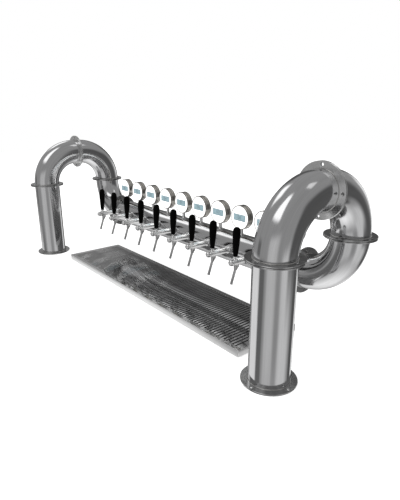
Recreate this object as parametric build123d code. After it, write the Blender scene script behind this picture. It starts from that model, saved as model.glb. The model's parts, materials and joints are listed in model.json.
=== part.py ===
from build123d import *

import math
import os

# A ten-tap beer tower for a bar counter. Two arched pipe towers carry a horizontal tap bar, with a
# drip tray on the counter in front of it. Millimetres, +Z up. The origin is on the counter, at the
# middle of the two towers' plan. X runs along the tap bar, and the drinkers' side is -Y.

# ---- Pipework -----------------------------------------------------------------------------------
PIPE_OD = 104.0          # outside of every pipe
PIPE_WALL = 2.0
BEND_R = 136.0           # centre-line radius of every elbow
APEX_TANGENT = 13.0      # straight length of an upper elbow next to the apex joint
JOINT_Z = 312.0          # height of the joint plane at the top of a column
FLANGE_RIM = 18.0        # width of a flange outside its pipe
FLANGE_T = 3.0
FLANGE_HOLES = 4         # in the middle of the rim
FLANGE_HOLE_D = 9.0
GASKET_T = 1.0           # flat gasket between two flanges
GASKET_RIM = 3.5         # width of the gasket outside the pipe
BASE_GASKET_T = 1.5      # rubber ring under a base flange
BASE_GASKET_INSET = 1.0  # how far its edge stays inside the flange's edge
SPIGOT_LENGTH = 12.0     # ring inside a joint that lines up the two pipes
SPIGOT_WALL = 1.5

# ---- Taps ---------------------------------------------------------------------------------------
TAP_COUNT = 10
TAP_PITCH = 107.0
TAP_RISE = 11.0          # tap axis above the bar's axis
BARREL_D = 20.0
BARREL_BORE = 12.0
NOSE_REACH = 15.0        # handle's axis to the start of the domed nose
BARREL_TAIL = 4.5        # length of the threaded tail inside the coupling nut
GROOVE_WIDTH = 1.4       # turned groove in the barrel, behind the nose
GROOVE_DEPTH = 0.7
GROOVE_SETBACK = 3.0     # start of the nose to the groove
SEAT_FROM_REAR = 13.0    # barrel shoulder to the keg side of the valve seat
SEAT_T = 4.0
SEAT_HOLE_D = 7.0
BOSS_D = 16.8            # boss around the lever's ball, level with the barrel's top, and its bonnet
BONNET_TOP = 12.0        # top of the bonnet ring above the barrel's axis
BONNET_THREAD_D = 13.0   # threaded spigot of the bonnet ring, inside the boss
BONNET_THREAD_L = 1.5
BONNET_BEVEL = 0.6
WRENCH_HOLE_D = 5.0      # blind hole for a pin wrench, near the barrel's rear
WRENCH_HOLE_DEPTH = 2.5
WRENCH_HOLE_AT = 74.0    # bar axis to the hole
WRENCH_HOLE_TURN = 40.0  # degrees from upright, towards +X
VALVE_ROD_D = 5.0
VALVE_WASHER_T = 2.5
VALVE_BLOCK_WALL = 3.0   # in front of and behind the lever's slot
VALVE_GUIDE_L = 3.0
HANDLE_REACH = 132.0     # bar axis to the handle's axis
PIVOT_RISE = 9.5         # ball centre above the barrel's axis
BALL_D = 10.0
STEM_D = 3.6
NECK_D = 5.0             # between ball and ferrule
TIP_D = 5.2
FERRULE_Z = 15.8         # underside of the handle's ferrule above the barrel's axis
FERRULE_H = 2.6
FERRULE_D = 14.0
FERRULE_BEVEL = 1.2
GRIP_H = 91.5
GRIP_BOTTOM_D = 14.5
GRIP_TOP_D = 24.5
GRIP_WIDE_AT = 0.76      # height of the widest place, as a share of the grip
GRIP_CROWN_D = 21.0      # where the domed crown begins
GRIP_CROWN_H = 7.0
GRIP_TAPER = 0.75        # share of its lower part that tapers before the sides turn upright
GRIP_EDGE = 1.0          # bevel at its foot
GRIP_STUD_D = 6.0
GRIP_STUD_H = 22.0
HANDLE_LEAN = 2.5        # closed handles lean this far back, in degrees
SPOUT_SETBACK = 10.5     # spout's axis behind the handle's axis, at the barrel's axis
SPOUT_LEAN = 20.2        # degrees that the spout leans towards the drinker
SPOUT_D = 8.0
SPOUT_BORE = 5.4
SPOUT_SOCKET_D = 16.0
SPOUT_SOCKET_END = 14.0  # barrel axis to the spout's joint face, along the spout
SPOUT_NECK_L = 14.0
SPOUT_LENGTH = 60.5
SPOUT_LIP_D = 9.2
SPOUT_LIP_L = 3.0
SPOUT_RIM = 1.5          # straight rim of the neck at the joint face
SPOUT_BLEND = 1.0        # slope between neck and tube, and between tube and lip
LIP_BEVEL = 0.6
SHANK_D = 18.0
SHANK_BORE = 8.0
SHANK_TAIL_L = 12.5      # from the lock washer's flat to the shank's tail end
SHANK_SPARE = 1.5        # thread beyond the lock nut
TAIL_WALL = 1.0          # wall of the tail that the line fits on
COLLAR_D = 31.0          # collar plate between tap and bar
COLLAR_T = 3.0           # thickness of the collar where it meets the bar's front
COUPLING_D = 26.0
COUPLING_L = 11.6
COUPLING_EDGE = 1.0
COUPLING_NOTCHES = 6
NOTCH_D = 3.2            # wrench notches along the coupling nut's rim
NOTCH_PROUD = 0.6        # how far a notch's axis lies outside the rim
LOCK_WASHER_T = 7.5      # from the bar's inner front to the flat of the shaped washer
LOCK_WASHER_D = 33.0
LOCK_NUT_AF = 27.0
LOCK_NUT_T = 6.0

# ---- Medallions ---------------------------------------------------------------------------------
MEDAL_CLEARANCE = 19.0   # between the bar's crown and the medallion's rim
MEDAL_D = 82.0
MEDAL_DEPTH = 25.0
MEDAL_LIP_T = 2.5        # lip around the face
MEDAL_REBATE = 3.3       # depth of the recess that takes the face
MEDAL_WALL_T = 5.0       # wall behind the recess
MEDAL_BACK_T = 2.0
MEDAL_FRONT_EDGE = 1.0   # bevels of the housing's rim
MEDAL_BACK_EDGE = 2.5
FACE_T = 3.0
FACE_EDGE = 0.5
BOARD_T = 1.6
LABEL_W = 54.0
LABEL_H = 22.0
LABEL_T = 0.6
LABEL_CORNER_R = 2.0
POST_D = 11.0
POST_BORE = 6.0
POST_COLLAR_D = 17.0
POST_COLLAR_H = 3.0
POST_COLLAR_SKIRT = 2.0  # part of the collar that follows the bar below its crown
POST_COLLAR_EDGE = 1.5
POST_INSIDE = 12.0       # length of the post below the bar's crown
POST_NUT_AF = 17.0
POST_NUT_T = 5.0
POST_ENGAGE = 3.5        # depth of the post in the housing's wall

# ---- Lines and wiring ---------------------------------------------------------------------------
LINE_D = 8.0
LINE_SPACING = 9.6
LINE_TURN_R = 25.0       # last bend of a beer line, towards its tap
LINE_FOOT_Z = 3.0        # height of every line's lower end
COOLING_D = 15.0
CABLE_D = 5.0
CABLE_RISE = 30.0        # lamp cable above the bar's axis
LAMP_WIRE_D = 3.0
LAMP_WIRE_TOP = 22.0     # end of a lamp wire below the medallion's centre

# ---- Drip tray ----------------------------------------------------------------------------------
TRAY_LEFT_GAP = 99.0     # between the left base flange and the tray's end
TRAY_RIGHT_GAP = 47.0    # the tray stands nearer to the right base flange
TRAY_WIDTH = 238.0
TRAY_HEIGHT = 20.3
TRAY_WALL = 1.5
TRAY_CORNER_R = 3.0
TRAY_Y = -21.0           # middle of the tray's width
LEDGE_WIDTH = 6.0        # strips that carry the grille
GRILLE_T = 2.0
GRILLE_DROP = 0.5        # grille top below the tray's rim
SLOT_PITCH = 12.0
SLOT_WIDTH = 6.0
SLOT_END_MARGIN = 14.0   # solid edge in front of and behind the slots
SLOT_SIDE_MARGIN = 16.0

# ---- Clearances ---------------------------------------------------------------------------------
MOVING_GAP = 0.3         # between two pieces that move past each other
RUNNING_GAP = 0.08       # radial clearance of a running fit
SEAT_GAP = 0.1           # between curved pieces that are clamped together
HOLE_GAP = 0.3           # around a shank, post or ring in its hole
GRILLE_GAP = 1.0         # around the grille in the tray
BRIM_GAP = 0.3           # between the spigot rings' bore and what runs past them

# ---- Derived places -----------------------------------------------------------------------------
PIPE_R = PIPE_OD / 2
PIPE_BORE_R = PIPE_R - PIPE_WALL
FLANGE_OD = PIPE_OD + 2 * FLANGE_RIM
FLANGE_PCD = PIPE_OD + FLANGE_RIM
GASKET_OD = PIPE_OD + 2 * GASKET_RIM
HALF_JOINT = GASKET_T / 2
BACK_Y = BEND_R + APEX_TANGENT + HALF_JOINT
FRONT_Y = -BACK_Y
BAR_Z = JOINT_Z - HALF_JOINT - BEND_R
BAR_LENGTH = TAP_COUNT * TAP_PITCH
TOWER_X = BAR_LENGTH / 2 + GASKET_T + BEND_R
TAP_Z = BAR_Z + TAP_RISE
# Distances along a tap, from the bar's axis towards the drinker.
COLLAR_FACE = PIPE_R + COLLAR_T
BARREL_REAR = COLLAR_FACE + COUPLING_L + 2 * SEAT_GAP
SHANK_FRONT = BARREL_REAR - BARREL_TAIL - SEAT_GAP
LOCK_SEAT = PIPE_BORE_R - LOCK_WASHER_T
SHANK_TAIL = LOCK_SEAT - SHANK_TAIL_L
BARREL_FRONT = HANDLE_REACH + NOSE_REACH
SPOUT_AXIS = HANDLE_REACH - SPOUT_SETBACK

MEDAL_RISE = PIPE_R + MEDAL_CLEARANCE + MEDAL_D / 2
MEDAL_Z = BAR_Z + MEDAL_RISE
MEDAL_RECESS_R = MEDAL_D / 2 - MEDAL_LIP_T
MEDAL_BORE_R = MEDAL_D / 2 - MEDAL_WALL_T
TAP_XS = [(i - (TAP_COUNT - 1) / 2) * TAP_PITCH for i in range(TAP_COUNT)]
SPIGOT_R = PIPE_BORE_R - HOLE_GAP
CHANNEL_R = SPIGOT_R - SPIGOT_WALL
SLOT_GAP = TIP_D / 2 + MOVING_GAP
TRAY_START = -TOWER_X + FLANGE_OD / 2 + TRAY_LEFT_GAP
TRAY_END = TOWER_X - FLANGE_OD / 2 - TRAY_RIGHT_GAP
TRAY_LENGTH = TRAY_END - TRAY_START
TRAY_X = (TRAY_START + TRAY_END) / 2
LIP_Z = TRAY_HEIGHT - GRILLE_DROP - GRILLE_T - MOVING_GAP
SIDES = {"left": -1, "right": 1}

UPRIGHT = (Align.CENTER, Align.CENTER, Align.MIN)


# ---- Helpers ------------------------------------------------------------------------------------
def rod(radius, start, end):
    """Round rod between two points."""
    run = Vector(*end) - Vector(*start)
    plane = Plane(origin=start, z_dir=run)
    return plane * Cylinder(radius, run.length, align=UPRIGHT)


def tube(outer_radius, inner_radius, start, end):
    return rod(outer_radius, start, end) - rod(inner_radius, start, end)


def turned(profile):
    """Solid of revolution about Z, from (radius, height) corners."""
    outline = Polyline(*[(r, 0, z) for r, z in profile], close=True)
    return revolve(make_face(outline), Axis.Z)


def hex_corner(across_flats):
    """Radius to the corners of a hexagon."""
    return across_flats / 2 / math.cos(math.radians(30))


def hex_nut(across_flats, thickness, bore_radius):
    blank = extrude(RegularPolygon(hex_corner(across_flats), 6), thickness)
    return blank - Cylinder(bore_radius, thickness, align=UPRIGHT)


def group(pieces):
    """Several separate solids in one node."""
    return Compound(children=list(pieces))


def save(name, shape):
    shape.label = name
    export_step(shape, f"parts/{name}.step")


# ---- Pipework -----------------------------------------------------------------------------------
def bolt_circle(thickness):
    """The cutters for a flange's holes, on the XY plane and up."""
    spots = PolarLocations(FLANGE_PCD / 2, FLANGE_HOLES)
    return spots * Cylinder(FLANGE_HOLE_D / 2, thickness, align=UPRIGHT)


def flange():
    """Flange plate around a pipe's end, on the XY plane and up."""
    plate = Cylinder(FLANGE_OD / 2, FLANGE_T, align=UPRIGHT)
    plate -= Cylinder(PIPE_R - PIPE_WALL / 2, FLANGE_T, align=UPRIGHT)
    return plate - bolt_circle(FLANGE_T)


def elbow(end_tangent=0.0):
    """Quarter bend from the origin along +Z round to +X, with a flange at each end."""
    section = Circle(PIPE_R) - Circle(PIPE_BORE_R)
    bend = revolve(section, Axis((BEND_R, 0, 0), (0, 1, 0)), 90)
    end = Plane(origin=(BEND_R, 0, BEND_R), x_dir=(0, 1, 0), z_dir=(1, 0, 0))
    if end_tangent > 0:
        bend += end * extrude(section, end_tangent)
    return bend + flange() + end * Pos(0, 0, end_tangent - FLANGE_T) * flange()


def column(side):
    foot = BASE_GASKET_T
    top = JOINT_Z - HALF_JOINT
    pipe = tube(PIPE_R, PIPE_BORE_R, (0, 0, foot), (0, 0, top))
    pipe += Pos(0, 0, foot) * flange() + Pos(0, 0, top - FLANGE_T) * flange()
    return Pos(side * TOWER_X, FRONT_Y, 0) * pipe


def upper_front_elbow(side):
    start = (side * TOWER_X, FRONT_Y, JOINT_Z + HALF_JOINT)
    return Plane(origin=start, x_dir=(0, 1, 0), z_dir=(0, 0, 1)) * elbow(APEX_TANGENT)


def upper_rear_elbow(side):
    start = (side * TOWER_X, BACK_Y, JOINT_Z + HALF_JOINT)
    return Plane(origin=start, x_dir=(0, -1, 0), z_dir=(0, 0, 1)) * elbow(APEX_TANGENT)


def lower_elbow(side):
    start = (side * TOWER_X, BACK_Y, JOINT_Z - HALF_JOINT)
    return Plane(origin=start, x_dir=(-side, 0, 0), z_dir=(0, 0, -1)) * elbow()


def tap_bar():
    half = BAR_LENGTH / 2
    pipe = tube(PIPE_R, PIPE_BORE_R, (-half, BACK_Y, BAR_Z), (half, BACK_Y, BAR_Z))
    for side in (-1, 1):
        end = Plane(origin=(side * half, BACK_Y, BAR_Z), x_dir=(0, 1, 0), z_dir=(-side, 0, 0))
        pipe += end * flange()
    for x in TAP_XS:
        pipe -= rod(SHANK_D / 2 + HOLE_GAP, (x, BACK_Y - PIPE_OD, TAP_Z), (x, BACK_Y, TAP_Z))
        pipe -= rod(POST_D / 2 + HOLE_GAP, (x, BACK_Y, BAR_Z), (x, BACK_Y, BAR_Z + PIPE_OD))
    return pipe


def joint_planes():
    """The middle of every flanged joint, with its normal as the plane's Z."""
    planes = []
    for side in SIDES.values():
        x = side * TOWER_X
        planes.append(Plane(origin=(x, FRONT_Y, JOINT_Z), z_dir=(0, 0, 1)))
        planes.append(Plane(origin=(x, 0, JOINT_Z + HALF_JOINT + BEND_R), z_dir=(0, 1, 0)))
        planes.append(Plane(origin=(x, BACK_Y, JOINT_Z), z_dir=(0, 0, 1)))
        bar_end = (side * (BAR_LENGTH / 2 + HALF_JOINT), BACK_Y, BAR_Z)
        planes.append(Plane(origin=bar_end, z_dir=(1, 0, 0)))
    return planes


def flange_gaskets():
    ring = Cylinder(GASKET_OD / 2, GASKET_T) - Cylinder(PIPE_BORE_R, GASKET_T)
    return group(plane * ring for plane in joint_planes())


def spigot_rings():
    ring = Cylinder(SPIGOT_R, SPIGOT_LENGTH) - Cylinder(CHANNEL_R, SPIGOT_LENGTH)
    return group(plane * ring for plane in joint_planes())


def base_gaskets():
    ring = Cylinder(FLANGE_OD / 2 - BASE_GASKET_INSET, BASE_GASKET_T, align=UPRIGHT)
    ring -= Cylinder(PIPE_BORE_R, BASE_GASKET_T, align=UPRIGHT)
    ring -= bolt_circle(BASE_GASKET_T)
    return group(Pos(side * TOWER_X, FRONT_Y, 0) * ring for side in SIDES.values())


# ---- Taps ---------------------------------------------------------------------------------------
# A tap is made about its own axis: X across, Y towards the bar, with Y = 0 at the bar's axis and
# Z = 0 at the barrel's axis.
def tap_place(x):
    return Pos(x, BACK_Y, TAP_Z)


def spout_plane(distance):
    """A plane across the spout, this far down its axis from the barrel's axis."""
    lean = math.radians(SPOUT_LEAN)
    down = (0, -math.sin(lean), -math.cos(lean))
    start = (0, -SPOUT_AXIS + down[1] * distance, down[2] * distance)
    return Plane(origin=start, x_dir=(1, 0, 0), z_dir=down)


def tap_body():
    front = (0, -BARREL_FRONT, 0)
    rear = (0, -BARREL_REAR, 0)
    body = rod(BARREL_D / 2, front, rear) + Pos(*front) * Sphere(BARREL_D / 2)
    body += rod(SHANK_D / 2, rear, (0, -BARREL_REAR + BARREL_TAIL, 0))
    body += Pos(0, -HANDLE_REACH, 0) * Cylinder(BOSS_D / 2, BARREL_D / 2, align=UPRIGHT)
    socket = Cylinder(SPOUT_SOCKET_D / 2, SPOUT_SOCKET_END, align=UPRIGHT)
    body += spout_plane(0) * socket
    groove_y = -BARREL_FRONT + GROOVE_SETBACK
    groove = (0, groove_y, 0), (0, groove_y + GROOVE_WIDTH, 0)
    body -= tube(BARREL_D, BARREL_D / 2 - GROOVE_DEPTH, *groove)
    hole_floor = Pos(0, 0, BARREL_D / 2 - WRENCH_HOLE_DEPTH)
    wrench_hole = hole_floor * Cylinder(WRENCH_HOLE_D / 2, BARREL_D, align=UPRIGHT)
    body -= Pos(0, -WRENCH_HOLE_AT, 0) * Rot(0, WRENCH_HOLE_TURN, 0) * wrench_hole
    return body - tap_cavity()


def tap_cavity():
    """Beer way: keg-side chamber, valve seat, front chamber, spout hole and lever hole."""
    seat = -BARREL_REAR - SEAT_FROM_REAR
    cavity = rod(BARREL_BORE / 2, (0, seat, 0), (0, -BARREL_REAR + BARREL_TAIL, 0))
    cavity += rod(SEAT_HOLE_D / 2, (0, seat - SEAT_T, 0), (0, seat, 0))
    cavity += rod(BARREL_BORE / 2, (0, -BARREL_FRONT, 0), (0, seat - SEAT_T, 0))
    cavity += spout_plane(0) * Cylinder(SPOUT_BORE / 2, SPOUT_SOCKET_END, align=UPRIGHT)
    lever_hole = Cylinder(BALL_D / 2 + RUNNING_GAP, BARREL_D / 2, align=UPRIGHT)
    thread_floor = BARREL_D / 2 - BONNET_THREAD_L - SEAT_GAP
    thread = Cylinder(BONNET_THREAD_D / 2 + SEAT_GAP, BOSS_D, align=UPRIGHT)
    return cavity + Pos(0, -HANDLE_REACH, 0) * (lever_hole + Pos(0, 0, thread_floor) * thread)


def lever_bonnet():
    """Threaded ring over the lever's ball, which keeps it in the body."""
    boss_top = BARREL_D / 2
    ring = rod(BOSS_D / 2, (0, 0, boss_top + SEAT_GAP), (0, 0, BONNET_TOP))
    ring += rod(BONNET_THREAD_D / 2, (0, 0, boss_top - BONNET_THREAD_L), (0, 0, BONNET_TOP))
    ring -= Pos(0, 0, PIVOT_RISE) * Sphere(BALL_D / 2 + RUNNING_GAP)
    ring = chamfer(ring.edges().filter_by(GeomType.CIRCLE).group_by(Axis.Z)[-1][-1:], BONNET_BEVEL)
    return Pos(0, -HANDLE_REACH, 0) * ring


def tap_spout():
    """Bent-forward pouring tube with a conical neck and a rounded lip."""
    neck_r = SPOUT_SOCKET_D / 2
    tube_r = SPOUT_D / 2
    lip_r = SPOUT_LIP_D / 2
    bore_r = SPOUT_BORE / 2
    lip_z = SPOUT_LENGTH - SPOUT_LIP_L
    profile = [(bore_r, 0), (neck_r, 0), (neck_r, SPOUT_RIM),
               (tube_r + SPOUT_BLEND, SPOUT_NECK_L - 2 * SPOUT_BLEND), (tube_r, SPOUT_NECK_L),
               (tube_r, lip_z - SPOUT_BLEND), (lip_r, lip_z), (lip_r, SPOUT_LENGTH - LIP_BEVEL),
               (lip_r - LIP_BEVEL, SPOUT_LENGTH), (bore_r, SPOUT_LENGTH)]
    return spout_plane(SPOUT_SOCKET_END) * turned(profile)


def valve_piston():
    """Rod with a seat washer at the keg side and a slotted block for the lever's tip."""
    block_r = BARREL_BORE / 2 - 4 * MOVING_GAP
    guide_r = BARREL_BORE / 2 - RUNNING_GAP
    seat = -BARREL_REAR - SEAT_FROM_REAR
    washer = (0, seat + MOVING_GAP, 0), (0, seat + MOVING_GAP + VALVE_WASHER_T, 0)
    piston = rod(BARREL_BORE / 2 - 2 * MOVING_GAP, *washer)
    piston += rod(VALVE_ROD_D / 2, (0, -HANDLE_REACH, 0), washer[1])
    block_front = -HANDLE_REACH - SLOT_GAP - VALVE_BLOCK_WALL
    block_back = -HANDLE_REACH + SLOT_GAP + VALVE_BLOCK_WALL
    piston += rod(block_r, (0, block_front, 0), (0, block_back, 0))
    piston += rod(guide_r, (0, block_back, 0), (0, block_back + VALVE_GUIDE_L, 0))
    clear_top = Box(BARREL_D, block_back - block_front, BARREL_D, align=UPRIGHT)
    piston -= Pos(0, (block_front + block_back) / 2, TIP_D / 2 - 2 * MOVING_GAP) * clear_top
    slot = Box(2 * SLOT_GAP, 2 * SLOT_GAP, BARREL_D, align=UPRIGHT)
    return piston - Pos(0, -HANDLE_REACH, -SLOT_GAP) * slot


def handle_lever():
    """Steel ball lever: tip, stem, ball, ferrule and the stud that the grip screws on."""
    grip_foot = FERRULE_Z + FERRULE_H
    stem = rod(STEM_D / 2, (0, 0, 0), (0, 0, PIVOT_RISE))
    lever = stem + Sphere(TIP_D / 2) + Pos(0, 0, PIVOT_RISE) * Sphere(BALL_D / 2)
    neck = [(0, PIVOT_RISE), (NECK_D / 2, PIVOT_RISE), (NECK_D / 2, FERRULE_Z),
            (FERRULE_D / 2 - FERRULE_BEVEL, FERRULE_Z), (FERRULE_D / 2, FERRULE_Z + FERRULE_BEVEL),
            (FERRULE_D / 2, grip_foot), (GRIP_STUD_D / 2, grip_foot),
            (GRIP_STUD_D / 2, grip_foot + GRIP_STUD_H), (0, grip_foot + GRIP_STUD_H)]
    return lever, turned(neck)


def handle_grip():
    """Black grip: narrow at the ferrule, widest near the top, with a domed crown."""
    foot = FERRULE_Z + FERRULE_H
    top = foot + GRIP_H
    wide = foot + GRIP_H * GRIP_WIDE_AT
    shoulder = top - GRIP_CROWN_H
    foot_r, wide_r, crown_r = GRIP_BOTTOM_D / 2, GRIP_TOP_D / 2, GRIP_CROWN_D / 2
    dome_r = (crown_r ** 2 + GRIP_CROWN_H ** 2) / (2 * GRIP_CROWN_H)
    half_turn = math.asin(crown_r / dome_r) / 2
    dome_mid = (dome_r * math.sin(half_turn), 0, top - dome_r * (1 - math.cos(half_turn)))
    taper_end = foot + (wide - foot) * GRIP_TAPER
    waist = Bezier((foot_r, 0, foot + GRIP_EDGE), (wide_r, 0, taper_end), (wide_r, 0, wide))
    head = Bezier((wide_r, 0, wide), (wide_r, 0, (wide + shoulder) / 2), (crown_r, 0, shoulder))
    crown = ThreePointArc((crown_r, 0, shoulder), dome_mid, (0, 0, top))
    stud_r = GRIP_STUD_D / 2 + SEAT_GAP
    stud_top = foot + GRIP_STUD_H + SEAT_GAP
    inside = Polyline((0, 0, top), (0, 0, stud_top), (stud_r, 0, stud_top), (stud_r, 0, foot),
                      (foot_r - GRIP_EDGE, 0, foot), (foot_r, 0, foot + GRIP_EDGE))
    return revolve(make_face([waist, head, crown, inside]), Axis.Z)


def tap_handle():
    lever, neck = handle_lever()
    lean_axis = Axis((0, 0, PIVOT_RISE), (1, 0, 0))
    leaning_neck = neck.rotate(lean_axis, -HANDLE_LEAN)
    grip = handle_grip().rotate(lean_axis, -HANDLE_LEAN)
    return Pos(0, -HANDLE_REACH, 0) * group([lever + leaning_neck, grip])


def coupling_nut():
    """Round nut that draws the tap onto the shank, with six wrench notches."""
    start = -COLLAR_FACE - SEAT_GAP
    ring = rod(COUPLING_D / 2, (0, start - COUPLING_L, 0), (0, start, 0))
    ring = chamfer(ring.edges().filter_by(GeomType.CIRCLE), COUPLING_EDGE)
    ring -= rod(SHANK_D / 2 + SEAT_GAP, (0, start - COUPLING_L, 0), (0, start, 0))
    across = Plane(origin=(0, start - COUPLING_L / 2, 0), z_dir=(0, 1, 0))
    for spot in PolarLocations(COUPLING_D / 2 + NOTCH_PROUD, COUPLING_NOTCHES):
        ring -= across * spot * Cylinder(NOTCH_D / 2, COUPLING_L)
    return ring


def shank():
    thread_end = -LOCK_SEAT + LOCK_NUT_T + SHANK_SPARE
    pipe = rod(SHANK_D / 2, (0, -SHANK_FRONT, 0), (0, thread_end, 0))
    pipe += rod(SHANK_BORE / 2 + TAIL_WALL, (0, -LOCK_SEAT, 0), (0, -SHANK_TAIL, 0))
    return pipe - rod(SHANK_BORE / 2, (0, -SHANK_FRONT, 0), (0, -SHANK_TAIL, 0))


def tap_collar():
    """Collar plate, flat towards the tap and shaped to the pipe behind."""
    plate = rod(COLLAR_D / 2, (0, -COLLAR_FACE, 0), (0, -PIPE_R / 2, 0))
    pipe = rod(PIPE_R + SEAT_GAP, (-COLLAR_D, 0, -TAP_RISE), (COLLAR_D, 0, -TAP_RISE))
    return plate - pipe - rod(SHANK_D / 2 + SEAT_GAP, (0, -COLLAR_FACE, 0), (0, 0, 0))


def lock_washer():
    """Shaped washer inside the bar: curved towards the pipe wall, flat towards the nut."""
    blank = rod(LOCK_WASHER_D / 2, (0, -PIPE_R, 0), (0, -LOCK_SEAT, 0))
    inside = rod(PIPE_BORE_R - SEAT_GAP, (-COLLAR_D, 0, -TAP_RISE), (COLLAR_D, 0, -TAP_RISE))
    return (blank & inside) - rod(SHANK_D / 2 + SEAT_GAP, (0, -PIPE_R, 0), (0, -LOCK_SEAT, 0))


def lock_nut():
    start = Plane(origin=(0, -LOCK_SEAT, 0), x_dir=(1, 0, 0), z_dir=(0, 1, 0))
    return start * hex_nut(LOCK_NUT_AF, LOCK_NUT_T, SHANK_D / 2 + SEAT_GAP)


def at_every_tap(piece):
    return group(tap_place(x) * piece for x in TAP_XS)


# ---- Medallions ---------------------------------------------------------------------------------
# A medallion is made about its own centre, with its face towards -Y.
def medallion_place(x):
    return Pos(x, BACK_Y, MEDAL_Z)


FACING = Plane(origin=(0, 0, 0), x_dir=(1, 0, 0), z_dir=(0, 1, 0))


def medallion_housing():
    """Round plated drum with a rebate for the face and a socket for the post."""
    front = -MEDAL_DEPTH / 2
    back = MEDAL_DEPTH / 2
    drum = FACING * turned([
        (MEDAL_RECESS_R, front), (MEDAL_D / 2 - MEDAL_FRONT_EDGE, front),
        (MEDAL_D / 2, front + MEDAL_FRONT_EDGE), (MEDAL_D / 2, back - MEDAL_BACK_EDGE),
        (MEDAL_D / 2 - MEDAL_BACK_EDGE, back), (0, back), (0, back - MEDAL_BACK_T),
        (MEDAL_BORE_R, back - MEDAL_BACK_T), (MEDAL_BORE_R, front + MEDAL_REBATE),
        (MEDAL_RECESS_R, front + MEDAL_REBATE)])
    return drum - rod(POST_D / 2 + SEAT_GAP, (0, 0, -MEDAL_D), (0, 0, 0))


def medallion_face():
    """White diffuser disc in the rebate."""
    start = -MEDAL_DEPTH / 2 + MEDAL_REBATE - FACE_T
    disc = rod(MEDAL_RECESS_R - HOLE_GAP, (0, start, 0), (0, start + FACE_T, 0))
    return chamfer(disc.edges().filter_by(GeomType.CIRCLE).sort_by(Axis.Y)[0], FACE_EDGE)


def medallion_label():
    start = -MEDAL_DEPTH / 2 + MEDAL_REBATE - FACE_T
    plate = extrude(RectangleRounded(LABEL_W, LABEL_H, LABEL_CORNER_R), LABEL_T)
    return Plane(origin=(0, start, 0), x_dir=(1, 0, 0), z_dir=(0, -1, 0)) * plate


def lamp_board():
    back = -LAMP_WIRE_D / 2 - MOVING_GAP
    return rod(MEDAL_BORE_R - HOLE_GAP, (0, back - BOARD_T, 0), (0, back, 0))


def medallion_post():
    """Hollow post from inside the bar into the housing's wall."""
    foot = (0, 0, PIPE_R - MEDAL_RISE - POST_INSIDE)
    return tube(POST_D / 2, POST_BORE / 2, foot, (0, 0, POST_ENGAGE - MEDAL_D / 2))


def post_collar():
    """Ring screwed down the post onto the bar's outside, against the nut inside."""
    crown = PIPE_R - MEDAL_RISE
    low, high = (0, 0, crown - POST_COLLAR_SKIRT), (0, 0, crown + POST_COLLAR_H)
    ring = rod(POST_COLLAR_D / 2, low, high)
    ring = chamfer(ring.edges().filter_by(GeomType.CIRCLE).sort_by(Axis.Z)[-1], POST_COLLAR_EDGE)
    ring -= rod(PIPE_R + SEAT_GAP, (-MEDAL_D, 0, -MEDAL_RISE), (MEDAL_D, 0, -MEDAL_RISE))
    return ring - rod(POST_D / 2 + SEAT_GAP, low, high)


def post_nut():
    top = math.sqrt(PIPE_BORE_R ** 2 - hex_corner(POST_NUT_AF) ** 2) - SEAT_GAP - MEDAL_RISE
    nut = hex_nut(POST_NUT_AF, POST_NUT_T, POST_D / 2 + SEAT_GAP)
    return Pos(0, 0, top - POST_NUT_T) * nut


def at_every_medallion(*pieces):
    return group(medallion_place(x) * piece for piece in pieces for x in TAP_XS)


# ---- Lines and wiring ---------------------------------------------------------------------------
def quarter(start, centre, end):
    """Quarter arc between two points about a centre."""
    c = Vector(*centre)
    out = (Vector(*start) - c) + (Vector(*end) - c)
    return ThreePointArc(start, tuple(c + out / math.sqrt(2)), end)


def tower_route(side, inward, backward, bar_x):
    """Edges of a line's path: up a column, over the arch, down and along the bar to bar_x.

    inward is the line's offset from the pipe's axis towards the other tower, which becomes its
    height above the bar's axis. backward is its offset inside the bend of the arch.
    """
    x = side * (TOWER_X - inward)
    low, high = JOINT_Z - HALF_JOINT, JOINT_Z + HALF_JOINT
    arch = BEND_R - backward
    turn = BEND_R - inward
    foot = (x, FRONT_Y + backward, LINE_FOOT_Z)
    up = (x, FRONT_Y + backward, high)
    over = (x, FRONT_Y + BEND_R, high + arch)
    down = (x, BACK_Y - BEND_R, high + arch)
    rear = (x, BACK_Y - backward, high)
    below = (x, BACK_Y - backward, low)
    bar_start = (side * (TOWER_X - BEND_R), BACK_Y - backward, low - turn)
    bar_end = (bar_x, BACK_Y - backward, low - turn)
    return [Line(foot, up), quarter(up, (x, FRONT_Y + BEND_R, high), over), Line(over, down),
            quarter(down, (x, BACK_Y - BEND_R, high), rear), Line(rear, below),
            quarter(below, (side * (TOWER_X - BEND_R), BACK_Y - backward, low), bar_start),
            Line(bar_start, bar_end)]


def swept(edges, diameter):
    path = Wire(edges)
    start = Plane(origin=path @ 0, z_dir=path % 0)
    return sweep(start * Circle(diameter / 2), path)


def beer_line(side, rank):
    """Line to the tap that is rank places in from this side's end of the bar."""
    tap_x = side * TAP_XS[-1 - rank]
    backward = SHANK_TAIL - LINE_TURN_R - rank * LINE_SPACING
    edges = tower_route(side, TAP_RISE, backward, tap_x + side * LINE_TURN_R)
    y = BACK_Y - backward
    turn_start = (tap_x + side * LINE_TURN_R, y, TAP_Z)
    turn_centre = (tap_x + side * LINE_TURN_R, y - LINE_TURN_R, TAP_Z)
    turn_end = (tap_x, y - LINE_TURN_R, TAP_Z)
    edges.append(quarter(turn_start, turn_centre, turn_end))
    if rank > 0:
        edges.append(Line(turn_end, (tap_x, BACK_Y - SHANK_TAIL, TAP_Z)))
    return swept(edges, LINE_D)


def beer_lines():
    ranks = range(TAP_COUNT // 2)
    return group(beer_line(side, rank) for side in SIDES.values() for rank in ranks)


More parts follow.
